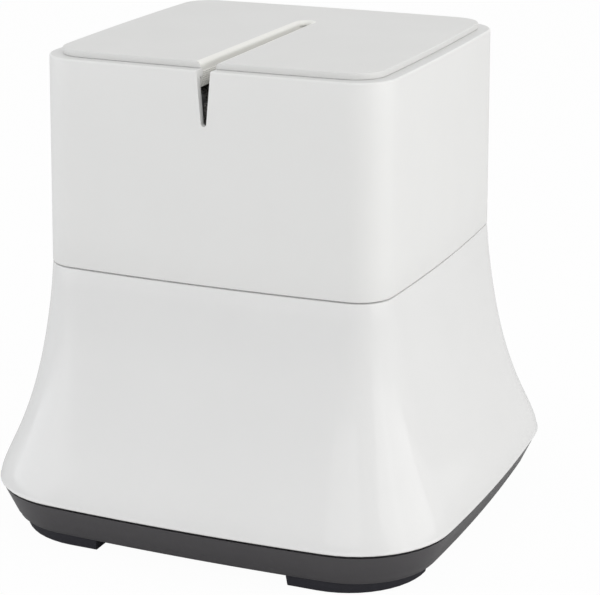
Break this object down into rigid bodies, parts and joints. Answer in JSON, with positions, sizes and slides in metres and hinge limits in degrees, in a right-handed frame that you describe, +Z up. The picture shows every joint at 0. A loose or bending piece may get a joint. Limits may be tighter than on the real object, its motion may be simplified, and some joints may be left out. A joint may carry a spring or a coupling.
{
  "type": "electric knife sharpener",
  "caption": "Countertop electric knife sharpener: a boxy white body on a flared base, with a top slot and front notch that lead a blade between motor driven interleaved discs.",
  "frame": {"origin": "middle of the base, on the surface that the feet stand on", "axes": "+Z up, -Y towards the front notch, +X to the right seen from the front"},
  "size_m": [0.1634, 0.159, 0.1632],
  "materials": {
    "white_satin": "satin moulded",
    "plate_satin": "fine texture",
    "white_gloss": "polished moulded",
    "dark_tray": "satin moulded",
    "foot_rubber": "matt rubber",
    "grey_guide": "satin moulded",
    "black_plastic": "moulded",
    "component_sleeve": "shrink sleeve",
    "board_laminate": "laminate",
    "zinc_steel": "zinc plated",
    "steel": "ground",
    "bronze": "sintered",
    "abrasive": "bonded grit",
    "gear_nylon": "moulded nylon",
    "spacer_aluminium": "turned",
    "ferrite": "sintered",
    "lamination": "stacked steel"
  },
  "bodies": {
    "housing": {"base_tray": "dark_tray", "bearing_plate_screws": "steel", "board_screws": "steel", "bridge_rectifier": "black_plastic", "casing_screws": "steel", "chassis_plate": "zinc_steel", "chassis_screws": "steel", "clamp_screws": "steel", "cord_clamp": "black_plastic", "cord_gland": "foot_rubber", "filter_capacitor": "component_sleeve", "foot_front_left": "foot_rubber", "foot_front_right": "foot_rubber", "foot_rear_left": "foot_rubber", "foot_rear_right": "foot_rubber", "front_bearing_plate": "grey_guide", "idler_clip": "steel", "idler_pin": "steel", "lower_casing": "white_gloss", "motor_bushes": "bronze", "motor_can": "zinc_steel", "motor_end_cap": "black_plastic", "motor_magnets": "ferrite", "motor_screws": "steel", "motor_terminals": "bronze", "plate_screws": "steel", "power_board": "board_laminate", "rear_bearing_plate": "zinc_steel", "switch_body": "black_plastic", "switch_terminals": "bronze", "terminal_block": "black_plastic", "top_plate": "plate_satin", "tray_screws": "steel", "upper_casing": "white_satin", "wheel_bushes": "bronze"},
    "right_wheels": {"right_shaft": "steel", "right_discs": "abrasive", "right_spacers": "spacer_aluminium", "right_shaft_clips": "steel", "right_pair_gear": "gear_nylon", "right_gear_washer": "steel", "driven_gear": "gear_nylon"},
    "left_wheels": {"left_shaft": "steel", "left_discs": "abrasive", "left_spacers": "spacer_aluminium", "left_shaft_clips": "steel", "left_pair_gear": "gear_nylon"},
    "idler": {"idler_gear": "gear_nylon"},
    "motor_rotor": {"motor_shaft": "steel", "rotor_core": "lamination", "commutator": "bronze", "motor_pinion": "bronze"},
    "rocker": {"switch_rocker": "black_plastic"}
  },
  "joints": [
    {"name": "right_wheel_spin", "type": "hinge", "parent": "housing", "child": "right_wheels", "pos_m": [0.0125, -0.03, 0.1405], "axis": [0, 1, 0], "continuous": true},
    {"name": "left_wheel_spin", "type": "hinge", "parent": "housing", "child": "left_wheels", "pos_m": [-0.0115, -0.03, 0.1405], "axis": [0, 1, 0], "continuous": true},
    {"name": "idler_spin", "type": "hinge", "parent": "housing", "child": "idler", "pos_m": [0.00604, 0, 0.12052], "axis": [0, 1, 0], "continuous": true},
    {"name": "motor_spin", "type": "hinge", "parent": "housing", "child": "motor_rotor", "pos_m": [0.0005, -0.03, 0.10339], "axis": [0, 1, 0], "continuous": true},
    {"name": "rocker_tilt", "type": "hinge", "parent": "housing", "child": "rocker", "pos_m": [0, 0.0545, 0.118], "axis": [1, 0, 0], "range_deg": [0, 16]}
  ],
  "couplings": [
    {"joint": "left_wheel_spin", "follows": "right_wheel_spin", "ratio": -1},
    {"joint": "idler_spin", "follows": "right_wheel_spin", "ratio": -0.75},
    {"joint": "motor_spin", "follows": "right_wheel_spin", "ratio": 1.5}
  ]
}
